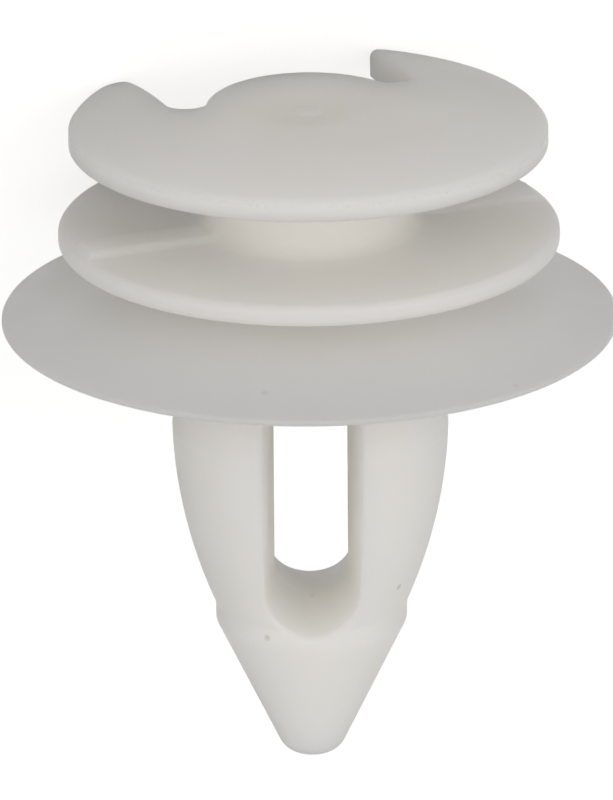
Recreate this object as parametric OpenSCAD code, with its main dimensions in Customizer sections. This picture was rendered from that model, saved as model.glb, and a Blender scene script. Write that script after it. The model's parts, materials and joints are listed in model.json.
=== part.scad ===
// Trim clip: a push-in panel retainer, moulded in one piece from natural nylon.
// The trim's keyhole slides over the neck, between the notched head and the middle disc. The thin
// sealing flange closes the hole in the body panel, and the split shank snaps through that hole.
//
// Each feature is drawn along the clip's own axis: head up, the underside of the flange's rim at zero,
// and the shank's slot running front to back along Y. The whole clip is then laid down as it comes to
// rest on a surface: on the flange's rim and on the two corners of the head's notch.

/* [Head] */
// Diameter of the head
head_d = 15.5; // [14.6:0.1:16]
// Height of the head's underside above the flange's rim
head_z = 6.1; // [5.4:0.1:7]
// Height of the head's crown above its underside
head_h = 1.3; // [1.1:0.05:1.7]
// Thickness of the head at its rim, before the edges are rounded
head_rim_t = 0.64; // [0.58:0.02:0.9]
// Diameter of the flat on the crown
crown_flat_d = 7.6; // [7:0.1:9]
// Diameter of the gate dimple on the crown
dimple_d = 3.7; // [2.6:0.1:4.4]
// Depth of the gate dimple
dimple_depth = 0.3; // [0.15:0.05:0.5]
// Diameter of the gate's stub in the dimple
gate_d = 0.8; // [0.5:0.1:1.2]
// Height of the gate's stub
gate_h = 0.12; // [0.05:0.01:0.15]

/* [Head notch] */
// Turn of the notch about the axis, from the slot's direction
notch_turn = 19.6; // [0:0.2:40]
// Width of the notch between its parallel sides
notch_w = 8.3; // [7.6:0.1:9]
// Radius of the corners where the notch meets the rim
notch_corner_r = 0.65; // [0.2:0.05:0.8]
// Radius of the round roots beside the neck
notch_root_r = 0.6; // [0.4:0.05:0.8]

/* [Neck and middle disc] */
// Diameter of the neck that the trim's keyhole slides over
neck_d = 6.7; // [6:0.1:7.4]
// Radius of the fillets at the neck's ends
neck_fillet_r = 0.5; // [0.2:0.05:0.8]
// Diameter of the middle disc
mid_d = 16.25; // [15:0.05:17.4]
// Height of the middle disc's underside above the flange's rim
mid_z = 2.65; // [2.5:0.05:3]
// Thickness of the middle disc
mid_t = 0.7; // [0.6:0.05:1]
// Radius on the edges of the head and the middle disc
edge_r = 0.24; // [0.1:0.02:0.28]
// Width of the crush rib across the middle disc, at its top
rib_w = 1.3; // [0.6:0.1:1.6]
// Height of the crush rib
rib_h = 0.22; // [0.1:0.02:0.4]
// Slope of the crush rib's sides, from upright
rib_draft = 30; // [10:1:45]

/* [Sealing flange] */
// Diameter of the sealing flange
flange_d = 20; // [18.6:0.1:21]
// Thickness of the flange at its rim
flange_rim_t = 0.22; // [0.18:0.02:0.5]
// Pitch of the flange's upper face
flange_pitch = 13.5; // [10:0.5:14]
// Pitch of the flange's underside
under_pitch = 10.5; // [8:0.5:12]

/* [Shank] */
// Diameter of the shank at its snap shoulder
shoulder_d = 9; // [8:0.1:9.6]
// Depth of the shoulder below the flange's rim
shoulder_drop = 3.5; // [3:0.1:4.2]
// Diameter of the panel grip above the shoulder
grip_d = 7.8; // [7:0.1:8]
// Depth of the grip's narrowest ring below the flange's rim
grip_drop = 1.1; // [0.6:0.1:1.6]
// Inward lean of the legs just below the shoulder
leg_lean = 1.5; // [1:0.5:5]
// Diameter of the land where the legs join
land_d = 6.25; // [5.8:0.05:6.6]
// Depth of the land's upper edge below the flange's rim
land_drop = 9.7; // [9.2:0.1:10.4]
// Height of the land
land_h = 0.6; // [0.3:0.05:1]
// Half angle of the lead-in cone
lead_angle = 25.5; // [22:0.5:27]
// Radius of the rounded tip
tip_r = 0.8; // [0.6:0.05:1.2]
// Depth of the tip below the flange's rim
tip_drop = 15.05; // [14.4:0.05:15.4]

/* [Slot] */
// Width of the slot at the middle of the shank
slot_w = 2.4; // [1.8:0.1:2.8]
// Draft of the slot's walls towards the front and the back
slot_draft = 6; // [3:0.5:9]
// Depth of the slot's round end below the flange's rim, at the middle of the shank
slot_drop = 9.6; // [8.6:0.1:9.8]
// Height of the slot's upper end above the flange's rim
slot_top = 0.3; // [0:0.05:0.5]

/* [Hidden] */
$fn = 96;

// Largest turn and length of one straight step in a round stretch
arc_turn = 9;
arc_step = 0.4;
// Length by which cutting shapes pass the solid
overlap = 1;

head_r = head_d / 2;
neck_r = neck_d / 2;
mid_r = mid_d / 2;
flange_r = flange_d / 2;
mid_top = mid_z + mid_t;
crown_z = head_z + head_h;

// The crown's arc leaves the flat level and falls to the rim
flat_r = crown_flat_d / 2;
crown_fall = head_h - head_rim_t;
crown_run = head_r - flat_r;
crown_r = (crown_run * crown_run + crown_fall * crown_fall) / (2 * crown_fall);
crown_centre = [flat_r, crown_z - crown_r];
rim_run = head_r - edge_r - flat_r;
rim_rise = sqrt(pow(crown_r - edge_r, 2) - rim_run * rim_run);
rim_centre = crown_centre + [rim_run, rim_rise];
rim_angle = atan2(rim_rise, rim_run);

// The dimple is a dish whose wall meets a flat floor
dimple_r = dimple_d / 2;
dimple_floor_r = dimple_r / 2;
gate_r = gate_d / 2;

// Each side of the notch ends in a round corner at the rim and in a root that meets the neck at a tangent
corner_x = notch_w / 2 + notch_corner_r;
corner_centre = [corner_x, sqrt(pow(head_r - notch_corner_r, 2) - corner_x * corner_x)];
corner_angle = atan2(corner_centre.y, corner_centre.x);
root_x = notch_w / 2 - notch_root_r;
root_centre = [root_x, sqrt(max(0, pow(neck_r + notch_root_r, 2) - root_x * root_x))];
root_angle = atan2(root_centre.y, root_centre.x);

// The flange's rim is a full round, and both faces leave it at a tangent
rim_round_r = flange_rim_t / 2;
rim_round_centre = [flange_r - rim_round_r, rim_round_r];
flange_top = rim_round_centre.y + rim_round_r / cos(flange_pitch)
    + (rim_round_centre.x - neck_r) * tan(flange_pitch);
grip_r = grip_d / 2;
under_top = rim_round_centre.y - rim_round_r / cos(under_pitch)
    + (rim_round_centre.x - grip_r) * tan(under_pitch);

// The legs bow from the shoulder to the land on one arc
shoulder_r = shoulder_d / 2;
land_r = land_d / 2;
leg_chord = [land_r - shoulder_r, shoulder_drop - land_drop];
leg_inward = [-cos(leg_lean), sin(leg_lean)];
leg_bow_r = (leg_chord * leg_chord) / (2 * (leg_chord * leg_inward));
leg_centre = [shoulder_r, -shoulder_drop] + leg_inward * leg_bow_r;
leg_end = [land_r, -land_drop] - leg_centre;
leg_end_angle = atan2(leg_end.y, leg_end.x);

// The tip's round is tangent to the lead-in cone and to the end plane
lead_z = -land_drop - land_h;
tip_z = tip_r - tip_drop;
tip_centre = [land_r + ((tip_z - lead_z) * sin(lead_angle) - tip_r) / cos(lead_angle), tip_z];

// The slot's round end is a cone towards each face
slot_r = slot_w / 2;
slot_axis_z = slot_r - slot_drop;
slot_reach = shoulder_r + overlap;
slot_face_r = slot_r + slot_reach * tan(slot_draft);

// Lying pose: the plane of the surface touches the flange's rim and the notch's two corners
corner_reach = corner_centre.y + notch_corner_r;
corner_overhang = max(0, norm([corner_centre.x, corner_reach]) - rim_centre.x);
rest_z = rim_centre.y + sqrt(edge_r * edge_r - corner_overhang * corner_overhang);
rest_run = rest_z - rim_round_centre.y;
rest_drop = rim_round_centre.x - corner_reach;
rest_lean = atan2(rest_drop, rest_run) + asin(rim_round_r / norm([rest_drop, rest_run]));
rest_height = rim_round_centre.x * cos(rest_lean) + rim_round_centre.y * sin(rest_lean) + rim_round_r;
head_far = rim_centre.y * cos(rest_lean) + rim_centre.x * sin(rest_lean) + edge_r;
tip_far = tip_centre.y * cos(rest_lean) - tip_centre.x * sin(rest_lean) - tip_r;
rest_middle = (head_far + tip_far) / 2;

// Points on a round stretch, from one angle to another
function arc(centre, r, from, to) =
    let (turn = abs(to - from), steps = ceil(max(turn / arc_turn, turn * PI / 180 * r / arc_step)))
        [
            for (i = [0 : steps])
                let (a = from + (to - from) * i / steps)
                    centre + r * [cos(a), sin(a)]
        ];

// The same points on the other side of the Y axis, in reverse order
function mirrored(points) = [
    for (i = [len(points) - 1 : -1 : 0])
        [-points[i].x, points[i].y]
];

// Domed disc with rounded edges, a fillet to the neck and the gate dimple
module head_blank() {
    fillet_z = head_z - neck_fillet_r;
    rotate_extrude()
        polygon(concat(
            [[0, fillet_z]],
            arc([neck_r + neck_fillet_r, fillet_z], neck_fillet_r, 180, 90),
            arc([head_r - edge_r, head_z + edge_r], edge_r, -90, 0),
            arc(rim_centre, edge_r, 0, rim_angle),
            arc(crown_centre, crown_r, rim_angle, 90),
            [[dimple_r, crown_z]],
            [[dimple_floor_r, crown_z - dimple_depth]],
            [[gate_r, crown_z - dimple_depth]],
            [[gate_r, crown_z - dimple_depth + gate_h]],
            [[0, crown_z - dimple_depth + gate_h]]
        ));
}

// Opening of the notch through the head and its fillet, with round corners and roots
module notch() {
    notch_h = neck_fillet_r + head_h + 2 * overlap;
    side = concat(
        arc(root_centre, notch_root_r, root_angle - 180, 0),
        arc(corner_centre, notch_corner_r, 180, corner_angle),
        [[corner_centre.x + overlap, head_r + overlap]]
    );
    rotate([0, 0, notch_turn])
        translate([0, 0, head_z - neck_fillet_r - overlap])
            difference() {
                linear_extrude(notch_h)
                    polygon(concat([[0, 0]], side, mirrored(side)));
                translate([0, 0, -overlap])
                    cylinder(r = neck_r, h = notch_h + 2 * overlap);
            }
}

module head() {
    difference() {
        head_blank();
        notch();
    }
}

// Post from the flange to the crown, flared by a fillet at both faces of the middle disc
module neck() {
    fillet_r = neck_r + neck_fillet_r;
    rotate_extrude()
        polygon(concat(
            [[0, flange_top - flange_rim_t]],
            [[neck_r, flange_top - flange_rim_t]],
            arc([fillet_r, mid_z - neck_fillet_r], neck_fillet_r, 180, 90),
            arc([fillet_r, mid_top + neck_fillet_r], neck_fillet_r, 270, 180),
            [[neck_r, crown_z - dimple_depth - gate_h]],
            [[0, crown_z - dimple_depth - gate_h]]
        ));
}

// Flat disc that closes the keyhole's groove from below
module middle_disc() {
    rotate_extrude()
        polygon(concat(
            [[0, mid_z]],
            arc([mid_r - edge_r, mid_z + edge_r], edge_r, -90, 0),
            arc([mid_r - edge_r, mid_top - edge_r], edge_r, 0, 90),
            [[0, mid_top]]
        ));
}

// Low rib across the disc that takes up play in the keyhole's groove
module crush_rib() {
    side_run = rib_h * tan(rib_draft);
    base_w = rib_w + 2 * side_run;
    end_r = mid_r - edge_r;
    intersection() {
        rotate([90, 0, notch_turn + 90])
            translate([0, mid_top, -mid_r])
                linear_extrude(2 * mid_r)
                    polygon([
                        [-base_w / 2, -edge_r],
                        [base_w / 2, -edge_r],
                        [base_w / 2, 0],
                        [rib_w / 2, rib_h],
                        [-rib_w / 2, rib_h],
                        [-base_w / 2, 0]
                    ]);
        translate([0, 0, mid_top - edge_r])
            cylinder(r1 = end_r + edge_r * tan(rib_draft), r2 = end_r - side_run, h = edge_r + rib_h);
    }
}

// Thin cone that springs flat against the panel
module sealing_flange() {
    rotate_extrude()
        polygon(concat(
            [[0, under_top]],
            [[grip_r, under_top]],
            arc(rim_round_centre, rim_round_r, -90 - under_pitch, 90 - flange_pitch),
            [[neck_r, flange_top]],
            [[0, flange_top]]
        ));
}

// Bowed shank: panel grip, snap shoulder, legs, land, lead-in cone and rounded tip
module shank_blank() {
    rotate_extrude()
        polygon(concat(
            [[0, -tip_drop]],
            arc(tip_centre, tip_r, -90, -lead_angle),
            [[land_r, lead_z]],
            arc(leg_centre, leg_bow_r, leg_end_angle, -leg_lean),
            [[grip_r, -grip_drop]],
            [[grip_r, under_top + flange_rim_t]],
            [[0, under_top + flange_rim_t]]
        ));
}

// Slot through the shank: wall draft to both faces, with a round end above the land
module leg_slot() {
    plan = [
        [slot_r, 0],
        [slot_face_r, slot_reach],
        [-slot_face_r, slot_reach],
        [-slot_r, 0],
        [-slot_face_r, -slot_reach],
        [slot_face_r, -slot_reach]
    ];
    translate([0, 0, slot_axis_z])
        linear_extrude(slot_top - slot_axis_z)
            polygon(plan);
    for (side = [-1, 1])
        translate([0, 0, slot_axis_z])
            rotate([side * 90, 0, 0])
                cylinder(r1 = slot_r, r2 = slot_face_r, h = slot_reach);
}

module shank() {
    difference() {
        shank_blank();
        leg_slot();
    }
}

// Puts the clip on its flange's rim and its notch's corners, centred over the origin
module laid_down() {
    translate([-rest_middle, 0, rest_height])
        rotate([0, 90 + rest_lean, 0])
            rotate([0, 0, -90 - notch_turn])
                children();
}

module trim_clip() {
    color([0.86, 0.85, 0.82])
        laid_down() {
            head();
            neck();
            middle_disc();
            crush_rib();
            sealing_flange();
            shank();
        }
}

trim_clip();
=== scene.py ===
"""Trim clip: the looks of a push-in panel retainer, moulded in natural nylon.

The moulding is shaped as a field of distances in the clip's own frame, with the small fillets that the
mould leaves on every edge. A net is drawn over that field, and the result stands for the plain solid.
"""

import json
import logging
import math
from collections.abc import Callable
from dataclasses import dataclass, field
from enum import Enum

import bpy
import numpy as np
from mathutils import Matrix, Vector


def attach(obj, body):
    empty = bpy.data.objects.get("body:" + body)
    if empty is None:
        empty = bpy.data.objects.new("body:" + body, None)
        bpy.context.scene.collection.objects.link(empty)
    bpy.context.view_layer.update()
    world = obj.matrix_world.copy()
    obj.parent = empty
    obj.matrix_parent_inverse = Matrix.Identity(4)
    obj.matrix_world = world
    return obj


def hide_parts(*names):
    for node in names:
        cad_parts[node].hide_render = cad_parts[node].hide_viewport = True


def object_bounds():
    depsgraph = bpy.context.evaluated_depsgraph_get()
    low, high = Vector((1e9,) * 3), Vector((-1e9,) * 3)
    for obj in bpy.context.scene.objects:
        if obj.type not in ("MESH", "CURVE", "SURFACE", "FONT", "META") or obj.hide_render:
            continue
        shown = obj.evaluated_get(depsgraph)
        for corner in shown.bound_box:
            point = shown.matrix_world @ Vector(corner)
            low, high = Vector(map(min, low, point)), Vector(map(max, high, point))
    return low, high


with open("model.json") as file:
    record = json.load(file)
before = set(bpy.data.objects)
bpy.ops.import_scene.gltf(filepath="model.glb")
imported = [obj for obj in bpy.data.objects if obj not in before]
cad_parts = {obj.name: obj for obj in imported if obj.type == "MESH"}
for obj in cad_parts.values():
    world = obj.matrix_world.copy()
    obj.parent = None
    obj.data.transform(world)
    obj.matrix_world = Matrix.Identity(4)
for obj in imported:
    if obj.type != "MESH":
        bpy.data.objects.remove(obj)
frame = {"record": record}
CAD_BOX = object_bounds()

LOG = logging.getLogger("trim_clip")
Array = np.ndarray
MM = 0.001
IMAGE_WIDTH = 613
IMAGE_HEIGHT = 800
NODE = "trim_clip"
BODY = "root"
NOTCH_TURN = math.radians(19.6)
SHORTEST_SLOPE = 1e-6


def round_union(a: Array, b: Array, radius: float) -> Array:
    """Joins two shapes, with a fillet in the corner between them.

    Args:
        a: Distances to the first shape.
        b: Distances to the second shape.
        radius: Radius of the fillet, in millimetres.

    Returns:
        Distances to the joined shape.
    """
    near_a = np.maximum(radius - a, 0)
    near_b = np.maximum(radius - b, 0)
    return np.maximum(radius, np.minimum(a, b)) - np.sqrt(near_a * near_a + near_b * near_b)


def round_meet(a: Array, b: Array, radius: float) -> Array:
    """Keeps what two shapes share, with the edge between them rounded.

    Args:
        a: Distances to the first shape.
        b: Distances to the second shape.
        radius: Radius of the rounded edge, in millimetres.

    Returns:
        Distances to the shared shape.
    """
    out_a = np.maximum(radius + a, 0)
    out_b = np.maximum(radius + b, 0)
    return np.minimum(-radius, np.maximum(a, b)) + np.sqrt(out_a * out_a + out_b * out_b)


class Spots:
    """Points in the clip's own frame, in millimetres: x across the slot, y along it, z to the head."""

    def __init__(self, points: Array) -> None:
        """Works out what the features measure from.

        Args:
            points: One row of x, y and z for each point.
        """
        self.x = points[:, 0]
        self.y = points[:, 1]
        self.z = points[:, 2]
        self.r = np.sqrt(self.x * self.x + self.y * self.y)
        self.along_rib = self.x * math.cos(NOTCH_TURN) + self.y * math.sin(NOTCH_TURN)
        self.out_of_notch = self.y * math.cos(NOTCH_TURN) - self.x * math.sin(NOTCH_TURN)


class TurnedOutline:
    """A closed outline of radius and height, turned about the clip's axis."""

    STEP = 0.04
    MARGIN = 1.0
    LAST_CELL = 1.001

    def __init__(self, outline: Array) -> None:
        """Measures the outline once, on a grid over its box.

        Args:
            outline: The outline's corners, one row of radius and height each.
        """
        self.low = outline.min(0) - self.MARGIN
        span = outline.max(0) + self.MARGIN - self.low
        self.count = np.ceil(span / self.STEP).astype(int) + 1
        ticks = [low + self.STEP * np.arange(n) for low, n in zip(self.low, self.count)]
        r, z = np.meshgrid(*ticks, indexing="ij")
        self.table = self._measure(outline, r, z).astype(np.float32)

    @staticmethod
    def _measure(outline: Array, r: Array, z: Array) -> Array:
        """Measures the signed distance from grid points to the outline.

        Args:
            outline: The outline's corners.
            r: Radius of each grid point.
            z: Height of each grid point.

        Returns:
            Distances, negative inside the outline.
        """
        nearest = np.full(r.shape, np.inf)
        inside = np.zeros(r.shape, bool)
        for (r0, z0), (r1, z1) in zip(outline, np.roll(outline, -1, 0)):
            dr, dz = r1 - r0, z1 - z0
            share = np.clip(((r - r0) * dr + (z - z0) * dz) / (dr * dr + dz * dz), 0, 1)
            nearest = np.minimum(nearest, (r - r0 - share * dr) ** 2 + (z - z0 - share * dz) ** 2)
            if dz:
                inside ^= ((z0 > z) != (z1 > z)) & (r < r0 + (z - z0) * dr / dz)
        return np.where(inside, -1, 1) * np.sqrt(nearest)

    def distance(self, at: Spots) -> Array:
        """Reads the distance to the turned shape from the grid.

        Args:
            at: Points in the clip's frame.

        Returns:
            Distances to the shape.
        """
        cells = []
        shares = []
        for value, low, count in zip((at.r, at.z), self.low, self.count):
            place = np.clip((value - low) / self.STEP, 0, count - self.LAST_CELL)
            cells.append(place.astype(np.int32))
            shares.append((place - cells[-1]).astype(np.float32))
        (i, j), (s, t) = cells, shares
        table = self.table
        lower = table[i, j] * (1 - s) + table[i + 1, j] * s
        upper = table[i, j + 1] * (1 - s) + table[i + 1, j + 1] * s
        return lower * (1 - t) + upper * t


def arc_points(centre: Array, radius: float, start: float, end: float, step: float = 0.05) -> Array:
    """Lists points on an arc.

    Args:
        centre: Centre of the arc.
        radius: Radius of the arc.
        start: Angle at which the arc starts, in radians.
        end: Angle at which the arc ends.
        step: Longest stretch between two points.

    Returns:
        One row of radius and height for each point.
    """
    count = max(2, math.ceil(abs(end - start) * radius / step)) + 1
    angles = np.linspace(start, end, count)
    return centre + radius * np.stack([np.cos(angles), np.sin(angles)], 1)


def filleted(before: Array, corner: Array, after: Array, radius: float) -> Array:
    """Rounds one corner of an outline.

    Args:
        before: A point on the edge that comes to the corner.
        corner: The corner.
        after: A point on the edge that leaves it.
        radius: Radius of the round.

    Returns:
        Points on the arc that takes the corner's place.
    """
    to_before = (before - corner) / np.linalg.norm(before - corner)
    to_after = (after - corner) / np.linalg.norm(after - corner)
    half = math.acos(float(np.clip(to_before @ to_after, -1, 1))) / 2
    middle = (to_before + to_after) / np.linalg.norm(to_before + to_after)
    centre = corner + middle * radius / math.sin(half)
    ends = [corner + side * radius / math.tan(half) - centre for side in (to_before, to_after)]
    start, end = (math.atan2(offset[1], offset[0]) for offset in ends)
    turn = (end - start + math.pi) % (2 * math.pi) - math.pi
    return arc_points(centre, radius, start, start + turn)


@dataclass
class Neck:
    """The post between the head and the sealing flange, which the trim's keyhole slides over."""

    radius: float = 3.35
    fillet: float = 0.5
    foot: float = 1.0

    def side(self, at: Spots) -> Array:
        """Measures the distance to the post's round side."""
        return at.r - self.radius

    def distance(self, at: Spots, head: "Head") -> Array:
        """Measures the distance to the post.

        Args:
            at: Points in the clip's frame.
            head: The head that the post ends in.

        Returns:
            Distances to the post.
        """
        post = round_meet(self.side(at), head.dome(at), head.edge)
        return np.maximum(post, self.foot - at.z)


@dataclass
class Head:
    """The domed head, with its notch and the dimple where the nylon entered the mould."""

    radius: float = 7.75
    underside: float = 6.1
    height: float = 1.3
    rim: float = 0.64
    flat_radius: float = 3.8
    edge: float = 0.26
    notch_width: float = 8.3
    notch_corner: float = 0.65
    notch_root: float = 0.6
    dimple_radius: float = 1.85
    dimple_floor: float = 0.95
    dimple_depth: float = 0.3
    dimple_edge: float = 0.25
    gate_radius: float = 0.4
    gate_height: float = 0.12
    gate_edge: float = 0.11

    @property
    def crown(self) -> float:
        """Height of the crown above the flange's rim."""
        return self.underside + self.height

    def dome(self, at: Spots) -> Array:
        """Measures the distance to the domed top.

        Args:
            at: Points in the clip's frame.

        Returns:
            Distances, negative below the dome.
        """
        fall = self.height - self.rim
        run = self.radius - self.flat_radius
        bend = (run * run + fall * fall) / (2 * fall)
        out = np.maximum(at.r - self.flat_radius, 0)
        up = at.z - (self.crown - bend)
        return np.sqrt(out * out + up * up) - bend

    def plan(self, at: Spots, neck: Neck) -> Array:
        """Measures the distance to the head's outline, seen from above.

        Args:
            at: Points in the clip's frame.
            neck: The post that the notch stops at.

        Returns:
            Distances to the outline.
        """
        aside = np.abs(at.along_rib)
        root_x = self.notch_width / 2 - self.notch_root
        root_y = math.sqrt((neck.radius + self.notch_root) ** 2 - root_x**2)
        below_root = (at.out_of_notch < root_y) & (root_x * at.out_of_notch < root_y * aside)
        root = np.hypot(aside - root_x, at.out_of_notch - root_y) - self.notch_root
        channel = np.maximum(aside - self.notch_width / 2, -neck.side(at))
        notch = np.where(below_root, root, channel)
        corner_x = self.notch_width / 2 + self.notch_corner
        corner_y = math.sqrt((self.radius - self.notch_corner) ** 2 - corner_x**2)
        past_corner = (at.out_of_notch > corner_y) & (corner_x * at.out_of_notch > corner_y * aside)
        corner = np.hypot(aside - corner_x, at.out_of_notch - corner_y) - self.notch_corner
        outline = np.maximum(at.r - self.radius, -notch)
        return np.where(past_corner, np.minimum(corner, neck.side(at)), outline)

    def dimple(self, at: Spots) -> Array:
        """Measures the distance to the hollow of the gate dimple.

        Args:
            at: Points in the clip's frame.

        Returns:
            Distances to the hollow.
        """
        run = self.dimple_radius - self.dimple_floor
        slant = math.hypot(run, self.dimple_depth)
        floor = self.crown - self.dimple_depth
        wall = ((at.r - self.dimple_floor) * self.dimple_depth - (at.z - floor) * run) / slant
        hollow = round_meet(wall, floor - at.z, self.dimple_edge)
        stub = round_meet(at.r - self.gate_radius, at.z - floor - self.gate_height, self.gate_edge)
        return round_meet(hollow, -stub, self.gate_edge)

    def distance(self, at: Spots, neck: Neck) -> Array:
        """Measures the distance to the head.

        Args:
            at: Points in the clip's frame.
            neck: The post under the head.

        Returns:
            Distances to the head, with its fillet to the post.
        """
        plan = self.plan(at, neck)
        under = self.underside - at.z
        disc = round_meet(round_meet(plan, self.dome(at), self.edge), under, self.edge)
        root = np.maximum(round_union(under, neck.side(at), neck.fillet), plan)
        root = np.maximum(root, np.abs(under) - neck.fillet)
        return np.minimum(disc, root)


@dataclass
class MiddleDisc:
    """The flat disc below the keyhole's groove, with its crush rib."""

    radius: float = 8.125
    underside: float = 2.65
    thickness: float = 0.7
    edge: float = 0.26
    rib_width: float = 1.3
    rib_height: float = 0.22
    rib_slope: float = math.radians(30)
    rib_edge: float = 0.1

    def rib(self, at: Spots) -> Array:
        """Measures the distance to the low rib across the disc.

        Args:
            at: Points in the clip's frame.

        Returns:
            Distances to the rib.
        """
        up = at.z - self.underside - self.thickness
        lean, upright = math.tan(self.rib_slope), math.cos(self.rib_slope)
        side = (np.abs(at.out_of_notch) - self.rib_width / 2 - (self.rib_height - up) * lean) * upright
        end = (at.r - self.radius + self.edge + up * lean) * upright
        top = round_meet(round_meet(side, end, self.rib_edge), up - self.rib_height, self.rib_edge)
        return np.maximum(top, -up - self.edge)

    def distance(self, at: Spots, neck: Neck) -> Array:
        """Measures the distance to the disc.

        Args:
            at: Points in the clip's frame.
            neck: The post through the disc.

        Returns:
            Distances to the disc, its rib and its fillets to the post.
        """
        half = self.thickness / 2
        level = np.abs(at.z - self.underside - half) - half
        disc = round_meet(at.r - self.radius, level, self.edge)
        disc = round_union(disc, self.rib(at), self.rib_edge)
        post = np.maximum(neck.side(at), level - neck.fillet - half)
        return round_union(disc, post, neck.fillet)


@dataclass
class SealingFlange:
    """The thin cone that springs flat against the panel."""

    radius: float = 10.0
    rim: float = 0.22
    top_pitch: float = math.radians(13.5)
    under_pitch: float = math.radians(10.5)

    def distance(self, at: Spots) -> Array:
        """Measures the distance to the cone: a wedge about the rim's centre, thickened by the rim's round.

        Args:
            at: Points in the clip's frame.

        Returns:
            Distances to the flange.
        """
        half = self.rim / 2
        out = at.r - self.radius + half
        up = at.z - half
        top = out * math.sin(self.top_pitch) + up * math.cos(self.top_pitch)
        under = -out * math.sin(self.under_pitch) - up * math.cos(self.under_pitch)
        along_top = up * math.sin(self.top_pitch) - out * math.cos(self.top_pitch)
        along_under = up * math.sin(self.under_pitch) - out * math.cos(self.under_pitch)
        beside = ((top >= under) & (along_top > 0)) | ((under > top) & (along_under > 0))
        wedge = np.where(beside, np.maximum(top, under), np.sqrt(out * out + up * up))
        return wedge - half


@dataclass
class Shank:
    """The split, bowed shank: panel grip, snap shoulder, two legs, land, lead-in cone and rounded tip."""

    top: float = 1.33
    grip_radius: float = 3.9
    grip_drop: float = 1.1
    shoulder_radius: float = 4.5
    shoulder_drop: float = 3.5
    leg_lean: float = math.radians(1.5)
    leg_step: float = 0.2
    leg_ends: int = 3
    land_radius: float = 3.125
    land_drop: float = 9.7
    land_height: float = 0.6
    lead_angle: float = math.radians(25.5)
    tip_radius: float = 0.8
    tip_drop: float = 15.05
    fillet: float = 0.3
    slot_radius: float = 1.2
    slot_draft: float = math.radians(6)
    slot_drop: float = 9.6
    slot_top: float = 0.3
    slot_edge: float = 0.2
    turned: TurnedOutline = field(init=False)

    def __post_init__(self) -> None:
        """Turns the shank's outline once."""
        self.turned = TurnedOutline(self._outline())

    def _leg(self) -> Array:
        """Lists points on the bowed side of a leg, from the shoulder to the land.

        Returns:
            One row of radius and height for each point.
        """
        shoulder = np.array([self.shoulder_radius, -self.shoulder_drop])
        land = np.array([self.land_radius, -self.land_drop])
        inward = np.array([-math.cos(self.leg_lean), math.sin(self.leg_lean)])
        chord = land - shoulder
        bow = float(chord @ chord / (2 * chord @ inward))
        centre = shoulder + inward * bow
        end = math.atan2(*(land - centre)[::-1])
        return arc_points(centre, bow, -self.leg_lean, end, step=self.leg_step)

    def _outline(self) -> Array:
        """Lists the shank's outline, with its corners rounded.

        Returns:
            One row of radius and height for each corner.
        """
        leg = self._leg()
        lead_drop = self.land_drop + self.land_height
        tip = self.land_radius - (self.tip_drop - lead_drop) * math.tan(self.lead_angle)
        corners = [
            np.array([self.grip_radius, self.top]),
            np.array([self.grip_radius, -self.grip_drop]),
            leg[0],
            leg[-1],
            np.array([self.land_radius, -lead_drop]),
            np.array([tip, -self.tip_drop]),
            np.array([0.0, -self.tip_drop]),
        ]
        return np.concatenate([
            [[0.0, self.top]],
            [corners[0]],
            filleted(corners[0], corners[1], corners[2], self.fillet),
            filleted(corners[1], corners[2], leg[1], self.fillet),
            leg[self.leg_ends : -self.leg_ends],
            filleted(leg[-2], corners[3], corners[4], self.fillet),
            filleted(corners[3], corners[4], corners[5], self.fillet),
            filleted(corners[4], corners[5], corners[6], self.tip_radius),
            [corners[6]],
        ])

    def slot(self, at: Spots) -> Array:
        """Measures the distance to the slot between the legs.

        Args:
            at: Points in the clip's frame.

        Returns:
            Distances to the slot.
        """
        below = np.minimum(at.z + self.slot_drop - self.slot_radius, 0)
        width = self.slot_radius + np.abs(at.y) * math.tan(self.slot_draft)
        channel = (np.sqrt(at.x * at.x + below * below) - width) * math.cos(self.slot_draft)
        return round_meet(channel, at.z - self.slot_top, self.slot_edge)

    def distance(self, at: Spots) -> Array:
        """Measures the distance to the slotted shank.

        Args:
            at: Points in the clip's frame.

        Returns:
            Distances to the shank.
        """
        return round_meet(self.turned.distance(at), -self.slot(at), self.slot_edge)


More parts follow.
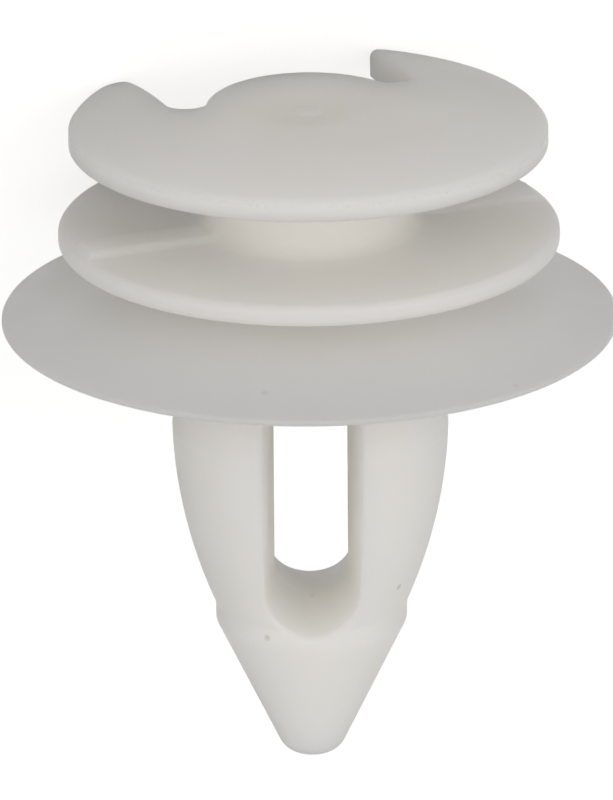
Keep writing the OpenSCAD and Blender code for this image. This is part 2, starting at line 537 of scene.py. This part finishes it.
@dataclass(frozen=True)
class SurfaceNet:
    """Draws a mesh over the zero of a field of distances, with one point in each cell that it crosses."""

    cell: float
    block: int = 8
    batch: int = 800

    def skin(self, distance: Callable[[Array], Array], low: Array, high: Array) -> tuple[Array, Array]:
        """Draws the net.

        Args:
            distance: Gives the distance at each of a row of points.
            low: Lowest corner of the space to search.
            high: Highest corner of the space to search.

        Returns:
            The mesh's points, and its faces of four points each.
        """
        span = self.cell * self.block
        counts = np.ceil((high - low) / span).astype(int)
        blocks = np.stack(np.meshgrid(*map(np.arange, counts), indexing="ij"), -1).reshape(-1, 3)
        centres = (low + (blocks + 0.5) * span).astype(np.float32)
        blocks = blocks[np.abs(distance(centres)) < span]
        strides = np.array([(counts[1] * self.block + 2) * (counts[2] * self.block + 2),
                            counts[2] * self.block + 2, 1])
        keys, points, quads = [], [], []
        for start in range(0, len(blocks), self.batch):
            base = blocks[start : start + self.batch] * self.block
            batch_keys, batch_points, batch_quads = self._cross(distance, low, base, strides)
            keys.append(batch_keys)
            points.append(batch_points)
            quads.append(batch_quads)
        keys, points, quads = (np.concatenate(rows) for rows in (keys, points, quads))
        order = np.argsort(keys)
        return low + points[order] * self.cell, np.searchsorted(keys[order], quads)

    def _cross(self, distance: Callable[[Array], Array], low: Array, base: Array,
               strides: Array) -> tuple[Array, Array, Array]:
        """Finds where the surface crosses the cells of some blocks.

        Args:
            distance: Gives the distance at each of a row of points.
            low: Lowest corner of the whole space.
            base: First cell of each block, as whole numbers.
            strides: What turns a cell's place into its key.

        Returns:
            Keys of the crossed cells, their points in cells, and faces given by the keys of their cells.
        """
        size = self.block
        ticks = np.arange(size + 1)
        lattice = np.stack(np.meshgrid(ticks, ticks, ticks, indexing="ij"), -1)
        corners = base[:, None, None, None, :] + lattice
        places = (low + corners.reshape(-1, 3) * self.cell).astype(np.float32)
        value = distance(places).reshape(corners.shape[:-1])
        inside = value < 0
        total = np.zeros((len(base), size, size, size, 3), np.float32)
        hits = np.zeros(total.shape[:-1], np.float32)
        faces = []
        for axis in range(3):
            first, last = np.take(value, ticks[:-1], axis + 1), np.take(value, ticks[1:], axis + 1)
            starts_in = np.take(inside, ticks[:-1], axis + 1)
            crossed = starts_in != np.take(inside, ticks[1:], axis + 1)
            share = np.where(crossed, first / np.where(crossed, first - last, 1), 0)
            across = [other for other in range(3) if other != axis]
            for near in (0, 1):
                for far in (0, 1):
                    window = [slice(None)] + [slice(0, size)] * 3
                    window[across[0] + 1] = slice(near, near + size)
                    window[across[1] + 1] = slice(far, far + size)
                    met = crossed[tuple(window)]
                    hits += met
                    total[..., axis] += share[tuple(window)]
                    total[..., across[0]] += near * met
                    total[..., across[1]] += far * met
            own = np.argwhere(crossed[:, :size, :size, :size])
            faces.append(self._faces(own, base, strides, axis, starts_in))
        active = np.argwhere(hits > 0)
        rows = tuple(active.T)
        cells = base[active[:, 0]] + active[:, 1:]
        return cells @ strides, cells + total[rows] / hits[rows][:, None], np.concatenate(faces)

    @staticmethod
    def _faces(own: Array, base: Array, strides: Array, axis: int, starts_in: Array) -> Array:
        """Lists the face around each crossed edge.

        Args:
            own: Block and corner of each crossed edge.
            base: First cell of each block.
            strides: What turns a cell's place into its key.
            axis: Direction of the edges.
            starts_in: Which corners lie inside the shape.

        Returns:
            Four keys of cells for each face, wound to face outwards.
        """
        key = (base[own[:, 0]] + own[:, 1:]) @ strides
        second, third = strides[(axis + 1) % 3], strides[(axis + 2) % 3]
        ring = np.stack([key - second - third, key - third, key, key - second], 1)
        outward = starts_in[tuple(own.T)]
        return np.where(outward[:, None], ring, ring[:, ::-1])


@dataclass(frozen=True)
class ClipFrame:
    """Where the clip lies: its own frame, given in the part's frame."""

    origin: Vector
    axes: Matrix

    @classmethod
    def from_record(cls, record: dict) -> "ClipFrame":
        """Reads the clip's frame from the part's mounts.

        Args:
            record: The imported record.

        Returns:
            The frame at the centre of the flange's rim.
        """
        mounts = {mount["name"]: mount for mount in record["mounts"]}
        to_head = -Vector(mounts["panel_hole"]["axis"]).normalized()
        notch = Vector(mounts["keyhole_groove"]["axis"])
        notch = (notch - to_head * notch.dot(to_head)).normalized()
        rib = notch.cross(to_head)
        along_slot = rib * math.sin(NOTCH_TURN) + notch * math.cos(NOTCH_TURN)
        across = along_slot.cross(to_head)
        axes = Matrix((across, along_slot, to_head)).transposed()
        return cls(Vector(mounts["panel_hole"]["pos_m"]), axes)

    def direction(self, x: float, y: float, z: float) -> Vector:
        """Turns a direction in the clip's frame into the part's frame."""
        return self.axes @ Vector((x, y, z))

    def points(self, own: Array) -> Array:
        """Moves points from the clip's frame, in millimetres, to the part's frame, in metres."""
        return np.array(self.origin) + own @ np.array(self.axes).T * MM


@dataclass(frozen=True)
class NylonFinish:
    """Uncoloured nylon with a satin skin: milky, faintly clouded, with a little dirt moulded in.

    The specks of dirt are given in the clip's own frame, in millimetres, and the other sizes in metres.
    """

    pale: tuple[float, float, float] = (0.925, 0.904, 0.868)
    clouded: tuple[float, float, float] = (0.915, 0.894, 0.836)
    speck: tuple[float, float, float] = (0.36, 0.35, 0.33)
    roughness: float = 0.5
    polished: float = 0.05
    scuffed: float = 0.07
    gloss: float = 0.25
    refraction: float = 1.53
    depth: float = 0.0045
    spread: tuple[float, float, float] = (1.0, 0.95, 0.86)
    specks: tuple[tuple[float, float, float], ...] = (
        (-1.49, -2.75, -10.02),
        (2.82, -2.23, -8.5),
        (-1.54, -8.33, 0.57),
        (6.48, -7.17, 0.28),
    )
    speck_core: float = 0.05
    speck_edge: float = 0.15
    speck_strength: float = 0.4
    cloud_size: float = 0.0045
    rub_size: float = 0.0022
    grain_size: float = 0.00012
    grain_height: float = 0.00002
    grain_strength: float = 0.12

    def material(self, lie: ClipFrame) -> bpy.types.Material:
        """Makes the nylon's material.

        Args:
            lie: Where the clip lies.

        Returns:
            The material, with its clouding, specks, satin grain and scattered light.
        """
        material = bpy.data.materials.new("natural_nylon_satin")
        material.use_nodes = True
        tree = material.node_tree
        shader = tree.nodes["Principled BSDF"]
        place = tree.nodes.new("ShaderNodeTexCoord").outputs["Object"]
        tree.links.new(self._colour(tree, place, lie), shader.inputs["Base Color"])
        tree.links.new(self._sheen(tree, place), shader.inputs["Roughness"])
        tree.links.new(self._grain(tree, place), shader.inputs["Normal"])
        shader.subsurface_method = "RANDOM_WALK"
        shader.inputs["IOR"].default_value = self.refraction
        shader.inputs["Specular IOR Level"].default_value = self.gloss
        shader.inputs["Subsurface Weight"].default_value = 1.0
        shader.inputs["Subsurface Radius"].default_value = self.spread
        shader.inputs["Subsurface Scale"].default_value = self.depth
        return material

    @staticmethod
    def _noise(tree: bpy.types.NodeTree, place: bpy.types.NodeSocket, size: float,
               detail: float) -> bpy.types.NodeSocket:
        """Adds a noise to a material.

        Args:
            tree: The material's nodes.
            place: Where the noise is read.
            size: Size of one cloud, in metres.
            detail: How much finer noise is laid over it.

        Returns:
            The noise's value, from 0 to 1.
        """
        noise = tree.nodes.new("ShaderNodeTexNoise")
        noise.inputs["Scale"].default_value = 1 / size
        noise.inputs["Detail"].default_value = detail
        tree.links.new(place, noise.inputs["Vector"])
        return noise.outputs["Fac"]

    @staticmethod
    def _ranged(tree: bpy.types.NodeTree, value: bpy.types.NodeSocket, source: tuple[float, float],
                target: tuple[float, float]) -> bpy.types.NodeSocket:
        """Maps a value from one range to another, smoothly and within its ends.

        Args:
            tree: The material's nodes.
            value: The value to map.
            source: Ends of the range that it comes from.
            target: Ends of the range that it goes to.

        Returns:
            The mapped value.
        """
        mapped = tree.nodes.new("ShaderNodeMapRange")
        mapped.interpolation_type = "SMOOTHSTEP"
        for name, number in zip(("From Min", "From Max", "To Min", "To Max"), (*source, *target)):
            mapped.inputs[name].default_value = number
        tree.links.new(value, mapped.inputs["Value"])
        return mapped.outputs["Result"]

    def _specked(self, tree: bpy.types.NodeTree, place: bpy.types.NodeSocket,
                 lie: ClipFrame) -> bpy.types.NodeSocket:
        """Adds the specks of dirt.

        Args:
            tree: The material's nodes.
            place: Where the specks are read.
            lie: Where the clip lies.

        Returns:
            How much of a speck shows, from 0 to the specks' strength.
        """
        gaps = []
        for spot in lie.points(np.array(self.specks)):
            gap = tree.nodes.new("ShaderNodeVectorMath")
            gap.operation = "DISTANCE"
            gap.inputs[1].default_value = spot
            tree.links.new(place, gap.inputs[0])
            gaps.append(gap.outputs["Value"])
        nearest = gaps[0]
        for gap in gaps[1:]:
            least = tree.nodes.new("ShaderNodeMath")
            least.operation = "MINIMUM"
            tree.links.new(nearest, least.inputs[0])
            tree.links.new(gap, least.inputs[1])
            nearest = least.outputs["Value"]
        reach = (self.speck_core * MM, self.speck_edge * MM)
        return self._ranged(tree, nearest, reach, (self.speck_strength, 0))

    def _colour(self, tree: bpy.types.NodeTree, place: bpy.types.NodeSocket,
                lie: ClipFrame) -> bpy.types.NodeSocket:
        """Adds the nylon's colour: pale, with faint clouds and sparse specks.

        Args:
            tree: The material's nodes.
            place: Where the colour is read.
            lie: Where the clip lies.

        Returns:
            The colour.
        """
        cloud = self._ranged(tree, self._noise(tree, place, self.cloud_size, 3), (0.35, 0.65), (0, 1))
        body = tree.nodes.new("ShaderNodeMix")
        body.data_type = "RGBA"
        body.inputs["A"].default_value = (*self.pale, 1)
        body.inputs["B"].default_value = (*self.clouded, 1)
        tree.links.new(cloud, body.inputs["Factor"])
        dotted = tree.nodes.new("ShaderNodeMix")
        dotted.data_type = "RGBA"
        dotted.inputs["B"].default_value = (*self.speck, 1)
        tree.links.new(self._specked(tree, place, lie), dotted.inputs["Factor"])
        tree.links.new(body.outputs["Result"], dotted.inputs["A"])
        return dotted.outputs["Result"]

    def _sheen(self, tree: bpy.types.NodeTree, place: bpy.types.NodeSocket) -> bpy.types.NodeSocket:
        """Adds the roughness, a little uneven from handling.

        Args:
            tree: The material's nodes.
            place: Where the roughness is read.

        Returns:
            The roughness.
        """
        rubbed = self._noise(tree, place, self.rub_size, 4)
        sheen = (self.roughness - self.polished, self.roughness + self.scuffed)
        return self._ranged(tree, rubbed, (0.3, 0.7), sheen)

    def _grain(self, tree: bpy.types.NodeTree, place: bpy.types.NodeSocket) -> bpy.types.NodeSocket:
        """Adds the satin grain of the mould's skin.

        Args:
            tree: The material's nodes.
            place: Where the grain is read.

        Returns:
            The bent normal.
        """
        bump = tree.nodes.new("ShaderNodeBump")
        bump.inputs["Strength"].default_value = self.grain_strength
        bump.inputs["Distance"].default_value = self.grain_height
        tree.links.new(self._noise(tree, place, self.grain_size, 2), bump.inputs["Height"])
        return bump.outputs["Normal"]


@dataclass
class TrimClip:
    """The whole moulding: head, neck, middle disc, sealing flange and split shank in one piece."""

    head: Head = field(default_factory=Head)
    neck: Neck = field(default_factory=Neck)
    middle: MiddleDisc = field(default_factory=MiddleDisc)
    flange: SealingFlange = field(default_factory=SealingFlange)
    shank: Shank = field(default_factory=Shank)
    finish: NylonFinish = field(default_factory=NylonFinish)
    join: float = 0.12
    cell: float = 0.055
    quick_cell: float = 0.11
    triangles: int = 180_000
    settle_steps: int = 2
    probe: float = 0.004
    margin: float = 0.4

    def distance(self, points: Array) -> Array:
        """Measures the distance to the moulding.

        Args:
            points: Points in the clip's frame, in millimetres.

        Returns:
            Distances, negative inside the nylon.
        """
        at = Spots(points)
        upper = np.minimum(self.head.distance(at, self.neck), self.neck.distance(at, self.head))
        upper = round_meet(upper, -self.head.dimple(at), self.join)
        upper = np.minimum(upper, self.middle.distance(at, self.neck))
        lower = round_union(self.flange.distance(at), self.shank.distance(at), self.join)
        return np.minimum(upper, lower)

    def slope(self, points: Array) -> Array:
        """Measures the direction in which the distance grows.

        Args:
            points: Points in the clip's frame.

        Returns:
            One unit vector for each point, which is the surface's normal there.
        """
        steps = np.eye(3, dtype=np.float32) * self.probe
        slope = np.stack([self.distance(points + s) - self.distance(points - s) for s in steps], 1)
        return slope / np.maximum(np.linalg.norm(slope, axis=1, keepdims=True), SHORTEST_SLOPE)

    def settle(self, points: Array) -> Array:
        """Moves points that are near the surface onto it.

        Args:
            points: Points in the clip's frame.

        Returns:
            The moved points.
        """
        points = points.astype(np.float32)
        limit = self.cell
        for _ in range(self.settle_steps):
            move = np.clip(self.distance(points), -limit, limit)
            points = points - move[:, None] * self.slope(points)
        return points

    def build(self, place: ClipFrame) -> bpy.types.Object:
        """Makes the moulding's mesh in place of the plain solid.

        Args:
            place: Where the clip lies.

        Returns:
            The moulding.
        """
        cell = self.cell
        reach = self.flange.radius + self.margin
        low = np.array([-reach, -reach, -self.shank.tip_drop - self.margin])
        high = np.array([reach, reach, self.head.crown + self.margin])
        points, quads = SurfaceNet(cell).skin(self.distance, low, high)
        points = self.settle(points)
        points, faces = self._thinned(points, quads)
        points = self.settle(points)
        normals = self.slope(points) @ np.array(place.axes).T
        mesh = bpy.data.meshes.new("nylon_moulding")
        mesh.from_pydata(place.points(points), [], faces)
        mesh.polygons.foreach_set("use_smooth", np.ones(len(mesh.polygons), bool))
        mesh.normals_split_custom_set_from_vertices(normals)
        piece = bpy.data.objects.new("nylon_moulding", mesh)
        bpy.context.collection.objects.link(piece)
        return piece

    def _thinned(self, points: Array, quads: Array) -> tuple[Array, Array]:
        """Takes out points where the surface is flat enough to do without them.

        Args:
            points: The net's points.
            quads: The net's faces.

        Returns:
            The points that stay, and faces of three points each.
        """
        net = bpy.data.meshes.new("net")
        net.from_pydata(points, [], quads)
        carrier = bpy.data.objects.new("net", net)
        bpy.context.collection.objects.link(carrier)
        thin = carrier.modifiers.new("thin", "DECIMATE")
        thin.ratio = min(1.0, self.triangles / (2 * len(quads)))
        done = carrier.evaluated_get(bpy.context.evaluated_depsgraph_get()).to_mesh()
        done.calc_loop_triangles()
        kept = np.empty(len(done.vertices) * 3, np.float32)
        done.vertices.foreach_get("co", kept)
        faces = np.empty(len(done.loop_triangles) * 3, np.int32)
        done.loop_triangles.foreach_get("vertices", faces)
        bpy.data.objects.remove(carrier)
        bpy.data.meshes.remove(net)
        return kept.reshape(-1, 3), faces.reshape(-1, 3)

    def dress(self, piece: bpy.types.Object, place: ClipFrame) -> None:
        """Gives the moulding its finish and its place in the part."""
        piece.data.materials.append(self.finish.material(place))
        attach(piece, BODY)
        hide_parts(NODE)


@dataclass(frozen=True)
class PhotoCamera:
    """A long lens in front of the slot, a little above the flange."""

    distance: float = 0.4
    elevation: float = math.radians(20.1)
    turn: float = math.radians(0.7)
    roll: float = math.radians(0.4)
    pixels_per_mm: float = 30.8
    origin_pixel: tuple[float, float] = (309.65, 319.2)
    sensor: float = 36.0

    def axes(self, place: ClipFrame) -> tuple[Vector, Vector, Vector]:
        """Works out the picture's directions before the camera is aimed.

        Args:
            place: Where the clip lies.

        Returns:
            Right, up and away from the camera, in the part's frame.
        """
        right = place.direction(math.cos(self.turn), -math.sin(self.turn), 0)
        back = place.direction(math.sin(self.turn), math.cos(self.turn), 0)
        axis = place.direction(0, 0, 1)
        up = back * math.sin(self.elevation) + axis * math.cos(self.elevation)
        away = back * math.cos(self.elevation) - axis * math.sin(self.elevation)
        level = right * math.cos(self.roll) - up * math.sin(self.roll)
        return level, right * math.sin(self.roll) + up * math.cos(self.roll), away

    def build(self, place: ClipFrame) -> bpy.types.Object:
        """Sets up the camera and makes it the scene's.

        Args:
            place: Where the clip lies.

        Returns:
            The camera.
        """
        right, up, away = self.axes(place)
        focal = self.pixels_per_mm * self.distance / MM
        aside = (IMAGE_WIDTH / 2 - self.origin_pixel[0]) / focal
        down = (IMAGE_HEIGHT / 2 - self.origin_pixel[1]) / focal
        forward = (away + right * aside - up * down).normalized()
        right = (right - forward * right.dot(forward)).normalized()
        lens = bpy.data.cameras.new("photo_camera")
        lens.sensor_width = self.sensor
        lens.lens = focal * self.sensor / max(IMAGE_WIDTH, IMAGE_HEIGHT)
        camera = bpy.data.objects.new("photo_camera", lens)
        turn = Matrix((right, right.cross(forward), -forward)).transposed().to_4x4()
        camera.matrix_world = Matrix.Translation(place.origin - away * self.distance) @ turn
        bpy.context.collection.objects.link(camera)
        bpy.context.scene.camera = camera
        return camera


class Lamp(Enum):
    """The studio's soft boxes: metres to the right, up and towards the camera, and power in watts."""

    KEY = (0.0, 0.0, 0.6, 1.05)
    LEFT = (-0.5, 0.0, 0.4, 0.67)
    RIGHT = (0.5, 0.0, 0.4, 0.75)


@dataclass
class Studio:
    """A pale floor, an even surround and soft boxes on the camera's side."""

    floor_size: float = 3.0
    lamp_size: float = 0.45
    lamp_tint: tuple[float, float, float] = (1.0, 0.965, 0.915)
    floor_grey: float = 0.5
    floor_glow: float = 0.7
    floor_roughness: float = 0.9
    surround: float = 0.435

    def build(self, place: ClipFrame, camera: PhotoCamera) -> None:
        """Makes the floor, the surround and the lamps.

        Args:
            place: Where the clip lies.
            camera: The camera that the lamps stand beside.
        """
        self._floor()
        self._surround()
        right, up, away = camera.axes(place)
        for lamp in Lamp:
            aside, above, towards, power = lamp.value
            self._lamp(lamp.name.lower(), place.origin, right * aside + up * above - away * towards, power)

    @staticmethod
    def _seen(tree: bpy.types.NodeTree) -> bpy.types.NodeSocket:
        """Adds a test for rays that show the background.

        Args:
            tree: Nodes of the floor or the surround.

        Returns:
            1 for camera rays, reflections and rays through clear things, and 0 for the rest.
        """
        path = tree.nodes.new("ShaderNodeLightPath")
        seen = path.outputs["Is Camera Ray"]
        for name in ("Is Glossy Ray", "Is Transmission Ray"):
            either = tree.nodes.new("ShaderNodeMath")
            either.operation = "MAXIMUM"
            tree.links.new(seen, either.inputs[0])
            tree.links.new(path.outputs[name], either.inputs[1])
            seen = either.outputs["Value"]
        return seen

    def _floor(self) -> None:
        """Makes the floor, which looks white but still shows the clip's shadow."""
        half = self.floor_size / 2
        mesh = bpy.data.meshes.new("floor")
        corners = [(-half, -half, 0), (half, -half, 0), (half, half, 0), (-half, half, 0)]
        mesh.from_pydata(corners, [], [(0, 1, 2, 3)])
        floor = bpy.data.objects.new("floor", mesh)
        floor.location.z = CAD_BOX[0].z
        bpy.context.collection.objects.link(floor)
        material = bpy.data.materials.new("pale_floor")
        material.use_nodes = True
        tree = material.node_tree
        shader = tree.nodes["Principled BSDF"]
        shader.inputs["Base Color"].default_value = (self.floor_grey, self.floor_grey, self.floor_grey, 1)
        shader.inputs["Roughness"].default_value = self.floor_roughness
        shader.inputs["Emission Color"].default_value = (1, 1, 1, 1)
        glow = tree.nodes.new("ShaderNodeMapRange")
        glow.inputs["To Max"].default_value = self.floor_glow
        tree.links.new(self._seen(tree), glow.inputs["Value"])
        tree.links.new(glow.outputs["Result"], shader.inputs["Emission Strength"])
        mesh.materials.append(material)

    def _surround(self) -> None:
        """Makes the surround: an even light, which looks white where it shows."""
        world = bpy.data.worlds.new("surround")
        world.use_nodes = True
        tree = world.node_tree
        light = tree.nodes["Background"]
        light.inputs["Color"].default_value = (1, 1, 1, 1)
        strength = tree.nodes.new("ShaderNodeMapRange")
        strength.inputs["To Min"].default_value = self.surround
        strength.inputs["To Max"].default_value = 1.0
        tree.links.new(self._seen(tree), strength.inputs["Value"])
        tree.links.new(strength.outputs["Result"], light.inputs["Strength"])
        bpy.context.scene.world = world

    def _lamp(self, name: str, target: Vector, offset: Vector, power: float) -> None:
        """Makes one soft box.

        Args:
            name: The lamp's name.
            target: What the lamp points at.
            offset: Where the lamp stands from there.
            power: The lamp's power, in watts.
        """
        data = bpy.data.lights.new(name, "AREA")
        data.size = self.lamp_size
        data.energy = power
        data.color = self.lamp_tint
        lamp = bpy.data.objects.new(name, data)
        lamp.location = target + offset
        lamp.rotation_mode = "QUATERNION"
        lamp.rotation_quaternion = (-offset).to_track_quat("-Z", "Y")
        bpy.context.collection.objects.link(lamp)


def main() -> None:
    """Builds the clip, the camera and the studio, and reports each piece."""
    logging.basicConfig(level=logging.INFO, format="%(name)s: %(message)s")
    bpy.context.scene.view_settings.view_transform = "Standard"
    place = ClipFrame.from_record(frame["record"])
    camera = PhotoCamera()
    camera.build(place)
    LOG.info("camera: %.0f mm from the flange", camera.distance / MM)
    clip = TrimClip()
    piece = clip.build(place)
    clip.dress(piece, place)
    LOG.info("%s: %d faces", piece.name, len(piece.data.polygons))
    Studio().build(place, camera)
    LOG.info("studio: floor, surround and %d lamps", len(Lamp))


if __name__ == "__main__":
    main()
